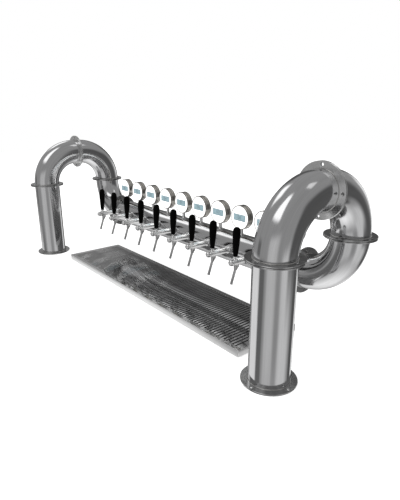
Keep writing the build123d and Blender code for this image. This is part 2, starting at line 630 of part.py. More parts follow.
def cooling_loop():
    """Water line in at one base and out at the other, low in the pipes."""
    outward = CHANNEL_R - BRIM_GAP - COOLING_D / 2
    left, right = [swept(tower_route(side, -outward, 0, 0), COOLING_D) for side in (-1, 1)]
    return left + right


def lamp_wiring():
    """Cable up the left tower and along the bar, with a wire up each post."""
    cable = swept(tower_route(-1, CABLE_RISE, 0, TAP_XS[-1]), CABLE_D)
    for x in TAP_XS:
        top = MEDAL_Z - LAMP_WIRE_TOP
        cable += rod(LAMP_WIRE_D / 2, (x, BACK_Y, BAR_Z + CABLE_RISE), (x, BACK_Y, top))
    return cable


# ---- Drip tray ----------------------------------------------------------------------------------
def tray_box(inset, bottom, height, corner):
    """Upright block with rounded corners, this far inside the tray's outline."""
    outline = RectangleRounded(TRAY_LENGTH - 2 * inset, TRAY_WIDTH - 2 * inset, corner)
    return Pos(TRAY_X, TRAY_Y, bottom) * extrude(outline, height)


def tray_strips(ring, corner_depth):
    """A ring along the tray's sides, cut into two end strips and two long strips."""
    middle = Box(2 * TRAY_LENGTH, TRAY_WIDTH - 2 * corner_depth, 2 * TRAY_HEIGHT)
    middle = Pos(TRAY_X, TRAY_Y, 0) * middle
    return (ring & middle).solids() + (ring - middle).solids()


def drip_tray():
    """Pan welded from a bottom sheet, four side strips and the four strips under the grille."""
    inner_corner = TRAY_CORNER_R - TRAY_WALL / 2
    bottom = tray_box(0, 0, TRAY_WALL, TRAY_CORNER_R)
    walls = tray_box(0, TRAY_WALL, TRAY_HEIGHT - TRAY_WALL, TRAY_CORNER_R)
    walls -= tray_box(TRAY_WALL, TRAY_WALL, TRAY_HEIGHT, inner_corner)
    ledge = tray_box(TRAY_WALL, LIP_Z - TRAY_WALL, TRAY_WALL, inner_corner)
    ledge -= tray_box(TRAY_WALL + LEDGE_WIDTH, LIP_Z - TRAY_WALL, TRAY_WALL, inner_corner)
    ledge_corner = TRAY_WALL + LEDGE_WIDTH + TRAY_CORNER_R
    return group([bottom, *tray_strips(walls, TRAY_CORNER_R), *tray_strips(ledge, ledge_corner)])


def drip_grille():
    plate = tray_box(TRAY_WALL + GRILLE_GAP, LIP_Z + MOVING_GAP, GRILLE_T, TRAY_CORNER_R)
    slots = int((TRAY_LENGTH - 2 * SLOT_SIDE_MARGIN) / SLOT_PITCH)
    slot_length = TRAY_WIDTH - 2 * SLOT_END_MARGIN
    slot = extrude(SlotOverall(slot_length, SLOT_WIDTH, rotation=90), GRILLE_T)
    centre = Pos(TRAY_X, TRAY_Y, LIP_Z + MOVING_GAP)
    return plate - [centre * spot * slot for spot in GridLocations(SLOT_PITCH, 1, slots, 1)]


# ---- Every node ---------------------------------------------------------------------------------
def main():
    os.makedirs("parts", exist_ok=True)
    for name, side in SIDES.items():
        save(f"{name}_column", column(side))
        save(f"{name}_upper_front_elbow", upper_front_elbow(side))
        save(f"{name}_upper_rear_elbow", upper_rear_elbow(side))
        save(f"{name}_lower_elbow", lower_elbow(side))
    save("tap_bar", tap_bar())
    save("flange_gaskets", flange_gaskets())
    save("spigot_rings", spigot_rings())
    save("base_gaskets", base_gaskets())

    body, piston, handle = tap_body(), valve_piston(), tap_handle()
    for number, x in enumerate(TAP_XS, 1):
        save(f"tap_{number:02d}_body", tap_place(x) * body)
        save(f"tap_{number:02d}_piston", tap_place(x) * piston)
        save(f"tap_{number:02d}_handle", tap_place(x) * handle)
    save("lever_bonnets", at_every_tap(lever_bonnet()))
    save("tap_spouts", at_every_tap(tap_spout()))
    save("coupling_nuts", at_every_tap(coupling_nut()))
    save("tap_collars", at_every_tap(tap_collar()))
    save("tap_shanks", at_every_tap(shank()))
    save("lock_washers", at_every_tap(lock_washer()))
    save("lock_nuts", at_every_tap(lock_nut()))

    save("medallion_housings", at_every_medallion(medallion_housing()))
    save("medallion_faces", at_every_medallion(medallion_face()))
    save("medallion_labels", at_every_medallion(medallion_label()))
    save("medallion_posts", at_every_medallion(medallion_post(), post_collar()))
    save("lamp_boards", at_every_medallion(lamp_board()))
    save("post_nuts", at_every_medallion(post_nut()))

    save("beer_lines", beer_lines())
    save("cooling_loop", cooling_loop())
    save("lamp_wiring", lamp_wiring())
    save("drip_tray", drip_tray())
    save("drip_grille", drip_grille())


main()
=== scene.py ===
# %% [markdown]
# # A ten-tap beer tower
# Two arched pipe towers carry a horizontal tap bar, and a drip tray lies on the counter in front
# of it. The measured model is loaded first and is never changed. Every visible piece is then
# modelled again over its own place, smooth and with its small edges, and gets its finish.

# %% Load the measured model
import json
import math

import bpy
import numpy
from mathutils import Matrix, Vector


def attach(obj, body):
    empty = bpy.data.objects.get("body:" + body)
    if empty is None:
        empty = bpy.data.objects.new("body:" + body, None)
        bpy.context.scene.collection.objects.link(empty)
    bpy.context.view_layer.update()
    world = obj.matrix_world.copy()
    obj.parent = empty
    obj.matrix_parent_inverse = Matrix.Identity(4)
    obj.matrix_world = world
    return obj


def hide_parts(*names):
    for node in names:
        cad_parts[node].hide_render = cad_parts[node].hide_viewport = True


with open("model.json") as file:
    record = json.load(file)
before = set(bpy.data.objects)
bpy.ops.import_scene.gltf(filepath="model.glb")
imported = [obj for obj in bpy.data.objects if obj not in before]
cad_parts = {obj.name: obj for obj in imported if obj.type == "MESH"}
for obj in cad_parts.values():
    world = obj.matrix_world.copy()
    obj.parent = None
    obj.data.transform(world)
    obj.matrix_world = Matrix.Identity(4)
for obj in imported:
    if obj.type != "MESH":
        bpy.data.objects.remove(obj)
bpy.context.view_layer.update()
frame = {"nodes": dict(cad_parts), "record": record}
mm = 0.001

# %% [markdown]
# ## The view
# The tower is seen from the right and a little above, near the right column, so that the bar
# runs away into the distance. The picture is taller than wide, so the sensor's 36 mm lie along
# its height. The camera's place is in metres, and its dip below level and its turn about Z are in
# radians.

# %% Camera
LENS = 31.39
CAMERA_PLACE = (1.2764, -0.8670, 0.6270)
CAMERA_DIP, CAMERA_TURN = 0.3092, 0.8803

camera_data = bpy.data.cameras.new("camera")
camera_data.lens = LENS
camera_data.sensor_width = 36.0
camera_data.clip_start = 0.02
camera = bpy.data.objects.new("camera", camera_data)
camera.location = CAMERA_PLACE
camera.rotation_euler = (math.pi / 2 - CAMERA_DIP, 0.0, CAMERA_TURN)
bpy.context.scene.collection.objects.link(camera)
bpy.context.scene.camera = camera
print("camera at", tuple(camera.location))

# %% [markdown]
# ## Working by hand, in code
# An operator acts on whatever is selected, so each step first selects just what it needs. These
# few helpers stand for what a hand does in the window: pick pieces, pick faces, leave edit mode,
# and write an object's place into its mesh.


# %% Selecting and settling
def only(*pieces):
    """Object mode, with just these pieces selected."""
    if bpy.context.object and bpy.context.object.mode != "OBJECT":
        bpy.ops.object.mode_set(mode="OBJECT")
    bpy.ops.object.select_all(action="DESELECT")
    for piece in pieces:
        piece.select_set(True)
        bpy.context.view_layer.objects.active = piece


def pick(piece, kind, test):
    """Edit mode, with just the faces, edges or points that pass the test."""
    only(piece)
    mesh = piece.data
    parts = {"VERT": mesh.vertices, "EDGE": mesh.edges, "FACE": mesh.polygons}
    for items in parts.values():
        items.foreach_set("select", [False] * len(items))
    for item in parts[kind]:
        item.select = test(item)
    bpy.context.tool_settings.mesh_select_mode = [kind == k for k in ("VERT", "EDGE", "FACE")]
    bpy.ops.object.mode_set(mode="EDIT")


def settle(piece):
    """The object's place, turn and scale go into its mesh."""
    only(piece)
    bpy.ops.object.transform_apply(location=True, rotation=True, scale=True)
    return piece


def modify(piece, kind, **settings):
    only(piece)
    modifier = piece.modifiers.new(kind.title(), kind)
    for name, value in settings.items():
        setattr(modifier, name, value)
    bpy.ops.object.modifier_apply(modifier=modifier.name)
    return piece


def carve(piece, tool, operation="DIFFERENCE"):
    """Cut with a tool solid, or fuse it on."""
    modify(piece, "BOOLEAN", operation=operation, object=tool, solver="EXACT")
    bpy.data.objects.remove(tool)


def smooth(piece, degrees=32):
    only(piece)
    bpy.ops.object.shade_smooth_by_angle(angle=math.radians(degrees))
    return piece


def join(*pieces):
    only(*pieces)
    bpy.ops.object.join()
    return pieces[-1]


# %% [markdown]
# ## Turned pieces
# Most of a beer tap comes off a lathe, so it is made as on one: an outline is drawn point by
# point from the axis outwards, and spun once round. A plane merged to one point is the start,
# and each extrude draws the next corner. Where the outline touches the axis, the spin leaves
# many points in one place, and these are merged before the normals are turned outwards.


# %% Lathe
def lathe(name, outline, steps=64, front=False):
    """Spin (radius, height) corners in millimetres round Z, or round the line to the drinker."""
    only()
    bpy.ops.mesh.primitive_plane_add(size=mm, location=(0, 0, 0))
    piece = bpy.context.object
    piece.name = name
    bpy.ops.object.mode_set(mode="EDIT")
    bpy.ops.mesh.merge(type="CENTER")
    bpy.ops.transform.translate(value=(outline[0][0] * mm, 0, outline[0][1] * mm))
    for (r0, z0), (r1, z1) in zip(outline, outline[1:]):
        step = ((r1 - r0) * mm, 0, (z1 - z0) * mm)
        bpy.ops.mesh.extrude_vertices_move(TRANSFORM_OT_translate={"value": step})
    bpy.ops.mesh.select_all(action="SELECT")
    bpy.ops.mesh.spin(steps=steps, angle=math.tau, center=(0, 0, 0), axis=(0, 0, 1))
    bpy.ops.mesh.select_all(action="SELECT")
    bpy.ops.mesh.remove_doubles(threshold=0.00001)
    bpy.ops.mesh.normals_make_consistent(inside=False)
    bpy.ops.object.mode_set(mode="OBJECT")
    if front:
        piece.rotation_euler = (math.pi / 2, 0, 0)
    return settle(piece)


def arc(r, z, size, start, end, steps):
    """Points of a rounded corner about (r, z), from one angle to another."""
    turns = [math.radians(start + (end - start) * i / steps) for i in range(steps + 1)]
    return [(r + size * math.cos(a), z + size * math.sin(a)) for a in turns]


# %% [markdown]
# ## Copies in a row
# The ten taps are alike, so each of their pieces is modelled once about the origin, and then
# copied to its tap with a mesh of its own. A copy rides on the body of the node that it
# stands for.

# %% Rows of taps
TAPS, TAP_PITCH = 10, 107.0
TAP_XS = [(i - (TAPS - 1) / 2) * TAP_PITCH for i in range(TAPS)]
BACK_Y, TAP_Z, MEDAL_Z = 149.5, 186.5, 287.5
body_of_node = {n: b for b, names in frame["record"]["behaviour"]["bodies"].items() for n in names}


def dress(piece, node):
    """The piece stands for a CAD node, which is hidden, and rides on its body."""
    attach(piece, body_of_node[node])
    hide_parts(node)
    return piece


def row(master, node, height):
    """One copy of the piece for every tap; the node's name may hold the tap's number."""
    copies = []
    for number, x in enumerate(TAP_XS, 1):
        only(master)
        bpy.ops.object.duplicate(linked=False)
        copy = bpy.context.object
        copy.name = f"{master.name}_{number:02d}"
        copy.location = (x * mm, BACK_Y * mm, height * mm)
        copies.append(dress(settle(copy), node.format(number)))
    bpy.data.objects.remove(master)
    print(node, "x", len(copies), "faces", len(copies[0].data.polygons))


# %% [markdown]
# ## Shader arithmetic
# A finish is a sum of small effects, so the sums are written as sums. `Wire` wraps one socket
# and turns `+ - * /` into Math nodes; `Sheet` holds one node tree and adds any other node.


# %% Wires and sheets
class Wire:
    def __init__(self, sheet, socket):
        self.sheet = sheet
        self.socket = socket

    def math(self, operation, *values):
        return self.sheet.node("ShaderNodeMath", {"operation": operation}, dict(enumerate(values)))

    def __add__(self, other):
        return self.math("ADD", self, other)

    def __sub__(self, other):
        return self.math("SUBTRACT", self, other)

    def __rsub__(self, other):
        return self.math("SUBTRACT", other, self)

    def __mul__(self, other):
        return self.math("MULTIPLY", self, other)

    def __truediv__(self, other):
        return self.math("DIVIDE", self, other)

    def __rtruediv__(self, other):
        return self.math("DIVIDE", other, self)

    __radd__ = __add__
    __rmul__ = __mul__


class Sheet:
    """One node tree: a material's, or the world's."""

    def __init__(self, owner):
        owner.use_nodes = True
        self.owner = owner
        self.tree = owner.node_tree
        shader = "Principled BSDF" if "Principled BSDF" in self.tree.nodes else "Background"
        self.shader = self.tree.nodes[shader]

    def node(self, kind, settings=None, inputs=None, output=0):
        made = self.tree.nodes.new(kind)
        for name, value in (settings or {}).items():
            setattr(made, name, value)
        for name, value in (inputs or {}).items():
            self.feed(made.inputs[name], value)
        return Wire(self, made.outputs[output])

    def feed(self, socket, value):
        if isinstance(value, Wire):
            self.tree.links.new(value.socket, socket)
        else:
            socket.default_value = value

    def set(self, **values):
        """Constant or wired values on the tree's own shader, such as Base_Color=..."""
        for name, value in values.items():
            self.feed(self.shader.inputs[name.replace("_", " ")], value)
        return self.owner

    def place(self, attribute=None, scale=(1, 1, 1)):
        """Where the surface is: object space, or the piece's own stretched coordinates."""
        if attribute:
            spot = self.node("ShaderNodeAttribute", {"attribute_name": attribute},
                             output="Vector")
        else:
            spot = self.node("ShaderNodeTexCoord", output="Object")
        return self.node("ShaderNodeMapping", inputs={"Vector": spot, "Scale": scale})

    def noise(self, place, detail=2.0, roughness=0.5):
        """Noise with its size set by the scale of the place."""
        values = {"Vector": place, "Scale": 1.0, "Detail": detail, "Roughness": roughness}
        return self.node("ShaderNodeTexNoise", inputs=values)

    def split(self, place):
        """The X, Y and Z of a place."""
        parts = self.node("ShaderNodeSeparateXYZ", inputs={"Vector": place})
        return [Wire(self, out) for out in parts.socket.node.outputs]

    def ramp(self, factor, stops):
        """A grey that eases from stop to stop, each a place and a shade."""
        made = self.node("ShaderNodeValToRGB", inputs={"Fac": factor})
        greys = made.socket.node.color_ramp
        greys.interpolation = "EASE"
        while len(greys.elements) < len(stops):
            greys.elements.new(1.0)
        for spot, (place, shade) in zip(greys.elements, stops):
            spot.position = place
            spot.color = (shade, shade, shade, 1.0)
        return made

    def tint(self, shade, red=1.0, blue=1.0):
        """A grey, or one with a little more or less red and blue."""
        parts = {"Red": shade * red, "Green": shade, "Blue": shade * blue}
        return self.node("ShaderNodeCombineColor", inputs=parts)

    def blend(self, factor, first, second):
        """Mix two colours. The node has its colour sockets at 6, 7 and, going out, 2."""
        return self.node("ShaderNodeMix", {"data_type": "RGBA"},
                         {0: factor, 6: first, 7: second}, output=2)

    def bump(self, height, strength, distance, normal=None):
        inputs = {"Height": height, "Strength": strength, "Distance": distance}
        if normal:
            inputs["Normal"] = normal
        return self.node("ShaderNodeBump", inputs=inputs)


def finish_named(name):
    return Sheet(bpy.data.materials.new(name))


# %% [markdown]
# ## Polished pipe steel
# The pipes are stainless steel, ground and then polished along their length. The last belt
# leaves a grain of very fine lines that run with the pipe, also round its bends. The pieces
# carry an attribute, `unrolled`, which holds the place round the pipe and the way along it, so
# the noise is squeezed across the pipe and drawn out along it. The same noise makes the steel
# a little lighter or darker and a little rougher or smoother from line to line. Wider ones stand
# for the bands of the belt, for wiped patches, and for the slight waves of a tube that was drawn
# and bent.


# %% Pipe steel
def pipe_steel():
    steel = finish_named("pipe_steel")
    fine = steel.noise(steel.place("unrolled", (900, 900, 9)), 3.0)
    bands = steel.noise(steel.place("unrolled", (90, 90, 1.2)), 2.0)
    wiped = steel.noise(steel.place("unrolled", (14, 14, 9)), 3.0, 0.6)
    shade = fine * 0.12 + bands * 0.16 + wiped * 0.08 + 0.43
    colour = steel.tint(shade, blue=1.01)
    waves = steel.bump(steel.noise(steel.place("unrolled", (30, 30, 2.5)), 2.0), 0.08, 4 * mm)
    grain = steel.bump(fine, 0.05, 0.2 * mm, waves)
    return steel.set(Base_Color=colour, Metallic=1.0, Normal=grain,
                     Roughness=fine * 0.06 + wiped * 0.06 + 0.06)


PIPE_STEEL = pipe_steel()
print("finish", PIPE_STEEL.name)


# %% [markdown]
# ## Flange and weld steel
# The flanges are plates cut from hot-rolled stainless sheet. Pickling after the welding leaves
# them duller than the pipes and softly mottled. A cloudy noise drives the shade, and a finer one
# the tiny pits. The plates at the top of the arches get a lighter copy of the same steel: painted
# light, which makes them look more brightly lit. The weld bead between plate and pipe is brushed
# by hand, and has low ripples.


# %% Plate steel and weld bead
def plate_steel(name, darkest):
    steel = finish_named(name)
    clouds = steel.noise(steel.place(scale=(60, 60, 60)), 4.0, 0.6)
    pits = steel.noise(steel.place(scale=(900, 900, 900)), 2.0)
    shade = clouds * 0.34 + pits * 0.08 + darkest
    colour = steel.tint(shade)
    return steel.set(Base_Color=colour, Metallic=1.0, Normal=steel.bump(pits, 0.12, 0.2 * mm),
                     Roughness=clouds * 0.16 + 0.12)


def weld_bead():
    weld = finish_named("weld_bead")
    ripple = weld.noise(weld.place(scale=(260, 260, 260)), 2.0)
    shade = ripple * 0.25 + 0.28
    colour = weld.tint(shade, red=1.01, blue=0.98)
    return weld.set(Base_Color=colour, Metallic=1.0, Normal=weld.bump(ripple, 0.5, 0.4 * mm),
                    Roughness=ripple * 0.15 + 0.25)


PLATE_STEEL = plate_steel("plate_steel", 0.20)
# A lighter copy of the plate steel for the plates at the top of the arches: painted light.
APEX_STEEL_PAINTED_LIGHT = plate_steel("apex_steel_painted_light", 0.55)
WELD_BEAD = weld_bead()
print("finishes", PLATE_STEEL.name, APEX_STEEL_PAINTED_LIGHT.name, WELD_BEAD.name)


# %% [markdown]
# ## Flanges
# A flange is a ring of plate with broken edges, four bolt holes, and a fillet weld up to its
# pipe. The whole section, weld included, is one closed outline for the lathe. The holes are cut
# with a drill shape that is wider at both ends, which breaks the holes' edges as well.

# %% Flange
PIPE_R, BEND_R, FLANGE_R, FLANGE_T, WALL = 52.0, 136.0, 70.0, 3.0, 2.0
BOLT_HOLES, BOLT_CIRCLE_R, HOLE_R = 4, 61, 4.5
ROUND_STEPS = 96


def flange(name):
    """Flange from z = 0 up, with its weld above it."""
    edge, weld, flare = 0.5, 1.4, 1.2
    hollow = weld + 0.6
    outline = [(PIPE_R - 1, 0), (FLANGE_R - edge, 0), (FLANGE_R, edge),
               (FLANGE_R, FLANGE_T - edge), (FLANGE_R - edge, FLANGE_T), (PIPE_R + weld, FLANGE_T)]
    outline += arc(PIPE_R + hollow, FLANGE_T + hollow, hollow, 258, 192, 4)
    outline += [(PIPE_R - 0.2, FLANGE_T + weld), (PIPE_R - 1, FLANGE_T + weld), (PIPE_R - 1, 0)]
    plate = lathe(name, outline, ROUND_STEPS)
    drill_outline = [(0, -1), (HOLE_R + flare, -1), (HOLE_R, 0.4), (HOLE_R, FLANGE_T - 0.4),
                     (HOLE_R + flare, FLANGE_T + 1), (0, FLANGE_T + 1)]
    for hole in range(BOLT_HOLES):
        drill = lathe("drill", drill_outline, 24)
        angle = hole * math.tau / BOLT_HOLES
        drill.location = (BOLT_CIRCLE_R * mm * math.cos(angle),
                          BOLT_CIRCLE_R * mm * math.sin(angle), 0)
        carve(plate, settle(drill))
    smooth(plate)
    plate.data.materials.append(PIPE_STEEL)
    plate.data.materials.append(PLATE_STEEL)
    plate.data.materials.append(WELD_BEAD)
    for face in plate.data.polygons:
        face.material_index = 2 if face.center.z > (FLANGE_T + 0.02) * mm else 1
    return plate


FLANGE = flange("flange")
print("flange faces", len(FLANGE.data.polygons))

# %% [markdown]
# ## Pipes and elbows
# An elbow is one circle, spun a quarter turn about the bend's centre and then extruded for the
# short straight end, where it has one. A straight pipe is the same circle, only extruded.
# Solidify gives them their 2 mm wall inwards. Each gets its flanges, and last the `unrolled`
# attribute, which flattens the bend: across the pipe it keeps the ring's own X and Y, and along
# it the length of the centre line.


# %% Pipe runs
def copy_of(piece, name):
    only(piece)
    bpy.ops.object.duplicate(linked=False)
    bpy.context.object.name = name
    return bpy.context.object


def placed(piece, origin, x_dir, z_dir):
    """Stand the piece at origin, with its own X and Z along these directions."""
    x_dir, z_dir = Vector(x_dir), Vector(z_dir)
    turn = Matrix((x_dir, z_dir.cross(x_dir), z_dir)).transposed().to_4x4()
    piece.matrix_world = Matrix.Translation(Vector(origin) * mm) @ turn
    return settle(piece)


def circle(name, height):
    only()
    bpy.ops.mesh.primitive_circle_add(vertices=ROUND_STEPS, radius=PIPE_R * mm,
                                      location=(0, 0, height * mm), rotation=(0, 0, 0))
    ring = settle(bpy.context.object)
    ring.name = name
    bpy.ops.object.mode_set(mode="EDIT")
    bpy.ops.mesh.select_all(action="SELECT")
    return ring


def walled(pipe):
    bpy.ops.mesh.select_all(action="SELECT")
    bpy.ops.mesh.normals_make_consistent(inside=False)
    modify(pipe, "SOLIDIFY", thickness=WALL * mm, offset=-1.0)
    smooth(pipe)
    pipe.data.materials.append(PIPE_STEEL)
    return pipe


def straight(name, start, end, steps=6):
    pipe = circle(name, start)
    for _ in range(steps):
        step = {"value": (0, 0, (end - start) / steps * mm)}
        bpy.ops.mesh.extrude_region_move(TRANSFORM_OT_translate=step)
    return walled(pipe)


def bend(name, tangent):
    pipe = circle(name, 0)
    bpy.ops.mesh.spin(steps=40, angle=-math.pi / 2, center=(BEND_R * mm, 0, 0), axis=(0, 1, 0))
    if tangent > 0:
        step = {"value": (tangent * mm, 0, 0)}
        bpy.ops.mesh.extrude_region_move(TRANSFORM_OT_translate=step)
    return walled(pipe)


def unroll(piece, bent):
    """Attribute with the place round the pipe (X, Y) and the way along its centre line (Z)."""
    count = len(piece.data.vertices)
    flat = numpy.zeros(count * 3)
    piece.data.vertices.foreach_get("co", flat)
    x, y, z = flat.reshape(-1, 3).T
    if bent:
        radius = BEND_R * mm
        turn = numpy.clip(numpy.arctan2(z, radius - x), 0, math.pi / 2)
        curve_ring = radius - numpy.hypot(radius - x, z)
        ring = numpy.where(z < 0, x, numpy.where(x > radius, radius - z, curve_ring))
        length = turn * radius + numpy.maximum(x - radius, 0) + numpy.minimum(z, 0)
        x, z = ring, length
    layer = piece.data.attributes.new("unrolled", "FLOAT_VECTOR", "POINT")
    layer.data.foreach_set("vector", numpy.stack([x, y, z], 1).ravel())
    return piece


def elbow(name, tangent, high_steel):
    """Elbow with plain steel on its low flange and the given steel on its high one."""
    pipe = bend(name, tangent)
    low = copy_of(FLANGE, "low_flange")
    high = copy_of(FLANGE, "high_flange")
    high.data.materials[1] = high_steel
    placed(high, (BEND_R + tangent, 0, BEND_R), (0, 0, 1), (-1, 0, 0))
    return unroll(join(low, high, pipe), True)


def column(name, foot, top):
    pipe = straight(name, foot, top)
    low = placed(copy_of(FLANGE, "low_flange"), (0, 0, foot), (1, 0, 0), (0, 0, 1))
    high = placed(copy_of(FLANGE, "high_flange"), (0, 0, top), (1, 0, 0), (0, 0, -1))
    return unroll(join(low, high, pipe), False)


# %% Towers and bar
TOWER_X, JOINT_Z, BAR_Z, HALF_BAR, HALF_JOINT = 672.0, 312.0, 175.5, 535.0, 0.5
COLUMN_FOOT, ARCH_END = 1.5, 13.0
for side_name, side in (("left", -1), ("right", 1)):
    tower_x = side * TOWER_X
    upright = column(f"{side_name}_upright", COLUMN_FOOT, JOINT_Z - HALF_JOINT)
    placed(upright, (tower_x, -BACK_Y, 0), (1, 0, 0), (0, 0, 1))
    dress(upright, f"{side_name}_column")
    # The high flanges of the front and rear bends take the lighter arch-top steel, which is painted
    # light.
    front = placed(elbow(f"{side_name}_front_bend", ARCH_END, APEX_STEEL_PAINTED_LIGHT),
                   (tower_x, -BACK_Y, JOINT_Z + HALF_JOINT), (0, 1, 0), (0, 0, 1))
    dress(front, f"{side_name}_upper_front_elbow")
    rear = placed(elbow(f"{side_name}_rear_bend", ARCH_END, APEX_STEEL_PAINTED_LIGHT),
                  (tower_x, BACK_Y, JOINT_Z + HALF_JOINT), (0, -1, 0), (0, 0, 1))
    dress(rear, f"{side_name}_upper_rear_elbow")
    under = placed(elbow(f"{side_name}_low_bend", 0.0, PLATE_STEEL),
                   (tower_x, BACK_Y, JOINT_Z - HALF_JOINT), (-side, 0, 0), (0, 0, -1))
    dress(under, f"{side_name}_lower_elbow")
    print(side_name, "arch", [len(p.data.polygons) for p in (upright, front, rear, under)])

bar = placed(column("bar_pipe", -HALF_BAR, HALF_BAR), (0, BACK_Y, BAR_Z), (0, 0, 1), (1, 0, 0))
dress(bar, "tap_bar")
bpy.data.objects.remove(FLANGE)
print("bar faces", len(bar.data.polygons))

# %% [markdown]
# ## Chrome and bright steel of the taps
# Tap bodies are turned from stainless steel and polished until they mirror the counter. Fine
# turning rings would be lost at this gloss, so the finish is nearly even: a faint cloud in the
# shade where fingers wiped it, and a trace of fine scratches in the roughness. The spouts and the
# collars behind the taps are darker, because they are left as turned.


# %% Tap steel
def bright_steel(name, shade, roughness, scratch):
    steel = finish_named(name)
    wiped = steel.noise(steel.place(scale=(70, 70, 70)), 3.0)
    scratches = steel.noise(steel.place(scale=(1500, 300, 1500)), 2.0)
    tone = wiped * 0.12 + (shade - 0.06)
    colour = steel.tint(tone)
    return steel.set(Base_Color=colour, Metallic=1.0,
                     Normal=steel.bump(scratches, scratch, 0.1 * mm),
                     Roughness=wiped * 0.06 + scratches * 0.06 + roughness)


TAP_STEEL = bright_steel("tap_steel", 0.82, 0.07, 0.05)
SPOUT_STEEL = bright_steel("spout_steel", 0.50, 0.17, 0.10)
COLLAR_STEEL = bright_steel("collar_steel", 0.40, 0.16, 0.10)
print("finishes", TAP_STEEL.name, SPOUT_STEEL.name, COLLAR_STEEL.name)

# %% [markdown]
# ## Tap bodies
# The body is a barrel with a domed nose, a turned groove behind it, and a threaded tail that goes
# into the coupling nut. A boss for the lever stands on top, and a socket for the spout leans out
# below. These cross the barrel, so they are fused on with Boolean, and a narrow bevel softens
# every edge the way polishing does. A small blind hole takes a pin wrench.

# %% Barrel, boss and socket
HANDLE_REACH, SPOUT_AXIS, SPOUT_LEAN = 132.0, 121.5, math.radians(20.2)
SOCKET_L = 14.0
PIN_HOLE_REACH, PIN_HOLE_TURN = 74, math.radians(40)


def leaning(piece, distance):
    """Hang a piece that was turned downwards on the spout's axis, this far from the barrel."""
    down = Vector((0, -math.sin(SPOUT_LEAN), -math.cos(SPOUT_LEAN)))
    return placed(piece, Vector((0, -SPOUT_AXIS, 0)) + down * distance, (1, 0, 0), down)


barrel_outline = [(0, 62.3), (9, 62.3), (9, 66.8), (9.4, 66.8), (10, 67.4), (10, 142.4),
                  (9.3, 142.8), (9.3, 143.7), (10, 144.1), (10, 147)]
barrel_outline += arc(0, 147, 10, 7.5, 90, 11)
tap_body = lathe("tap_body", barrel_outline, 64, front=True)
boss = lathe("boss", [(0, 0), (8.4, 0), (8.4, 9.5), (7.9, 10), (0, 10)], 48)
boss.location = (0, -HANDLE_REACH * mm, 0)
carve(tap_body, settle(boss), "UNION")
socket_outline = [(0, 0), (8, 0), (8, SOCKET_L - 0.4), (7.6, SOCKET_L), (0, SOCKET_L)]
socket = leaning(lathe("socket", socket_outline, 48), 0)
carve(tap_body, socket, "UNION")
pin = lathe("pin", [(0, 7.5), (2.5, 7.5), (2.5, 9.7), (3.1, 10.6), (0, 10.6)], 24)
pin.rotation_euler = (0, PIN_HOLE_TURN, 0)
pin.location = (0, -PIN_HOLE_REACH * mm, 0)
carve(tap_body, settle(pin))
smooth(modify(tap_body, "BEVEL", width=0.25 * mm, segments=2, limit_method="ANGLE",
              angle_limit=math.radians(50)))
tap_body.data.materials.append(TAP_STEEL)
row(tap_body, "tap_{:02d}_body", TAP_Z)

# %% [markdown]
# ## Bonnet, coupling nut and collar
# The bonnet is a ring that keeps the lever's ball in the boss. The coupling nut draws the tap on
# to its shank, and has six notches for a hook wrench, cut with thin rods. The collar is turned
# flat towards the tap, and its back is hollowed to sit on the round bar.

# %% Rings behind the tap
NOTCHES, NOTCH_CIRCLE_R = 6, 13.6
SADDLE_R, SADDLE_L = PIPE_R + 0.1, 80

bonnet = lathe("bonnet", [(5.3, 9.4), (6.5, 9.4), (6.5, 10.1), (8, 10.1), (8.4, 10.5), (8.4, 11.2),
                          (7.7, 12), (5.2, 12), (4.7, 11.6), (5.3, 9.4)], 48)
bonnet.location = (0, -HANDLE_REACH * mm, 0)
smooth(settle(bonnet), 25)
bonnet.data.materials.append(TAP_STEEL)
row(bonnet, "lever_bonnets", TAP_Z)

coupling = lathe("coupling", [(9.1, 55.1), (12, 55.1), (13, 56.1), (13, 57.4), (12.6, 57.8),
                              (12.6, 58.6), (13, 59), (13, 65.7), (12, 66.7), (9.1, 66.7),
                              (9.1, 55.1)], 72, front=True)
for notch in range(NOTCHES):
    rod = lathe("rod", [(0, 50), (1.6, 50), (1.6, 70), (0, 70)], 16, front=True)
    angle = notch * math.pi / (NOTCHES / 2)
    rod.location = (NOTCH_CIRCLE_R * mm * math.cos(angle), 0,
                    NOTCH_CIRCLE_R * mm * math.sin(angle))
    carve(coupling, settle(rod))
smooth(modify(coupling, "BEVEL", width=0.2 * mm, segments=1, limit_method="ANGLE",
              angle_limit=math.radians(50)))
coupling.data.materials.append(TAP_STEEL)
row(coupling, "coupling_nuts", TAP_Z)

collar = lathe("collar", [(9.1, 26), (15.5, 26), (15.5, 54.2), (14.7, 55), (9.8, 55), (9.1, 54.3),
                          (9.1, 26)], 64, front=True)
only()
bpy.ops.mesh.primitive_cylinder_add(
    vertices=192, radius=SADDLE_R * mm, depth=SADDLE_L * mm,
    location=(0, 0, (BAR_Z - TAP_Z) * mm), rotation=(0, math.pi / 2, 0))
carve(collar, settle(bpy.context.object))
smooth(collar)
collar.data.materials.append(COLLAR_STEEL)
row(collar, "tap_collars", TAP_Z)

# %% [markdown]
# ## Spouts
# A spout is a straight tube that leans forward, with a conical neck and a thicker lip. Its
# outline goes down the outside and back up the bore, so that the open end shows a real wall.

# %% Spout
spout_outline = [(2.7, 0), (7.7, 0), (8, 0.3), (8, 1.5), (7.7, 2.4), (5.3, 11.4), (4.6, 13),
                 (4, 14.5), (4, 56.4), (4.2, 57), (4.6, 57.6), (4.6, 59.7), (4.3, 60.3), (3.9, 60.5),
                 (3.1, 60.5), (2.7, 60.1), (2.7, 0)]
spout = smooth(leaning(lathe("spout", spout_outline, 40), SOCKET_L), 40)
spout.data.materials.append(SPOUT_STEEL)
row(spout, "tap_spouts", TAP_Z)

# %% [markdown]
# ## Lever and grip
# The lever shows its ball, a short neck and a bright ferrule; a black moulded grip screws on
# above. The grip is narrow at the ferrule, widest at three quarters of its height, and closes in
# a dome. Its side is two Bezier curves, worked out at two dozen heights for the lathe. A closed
# handle leans 2.5 degrees back, about the ball's centre.


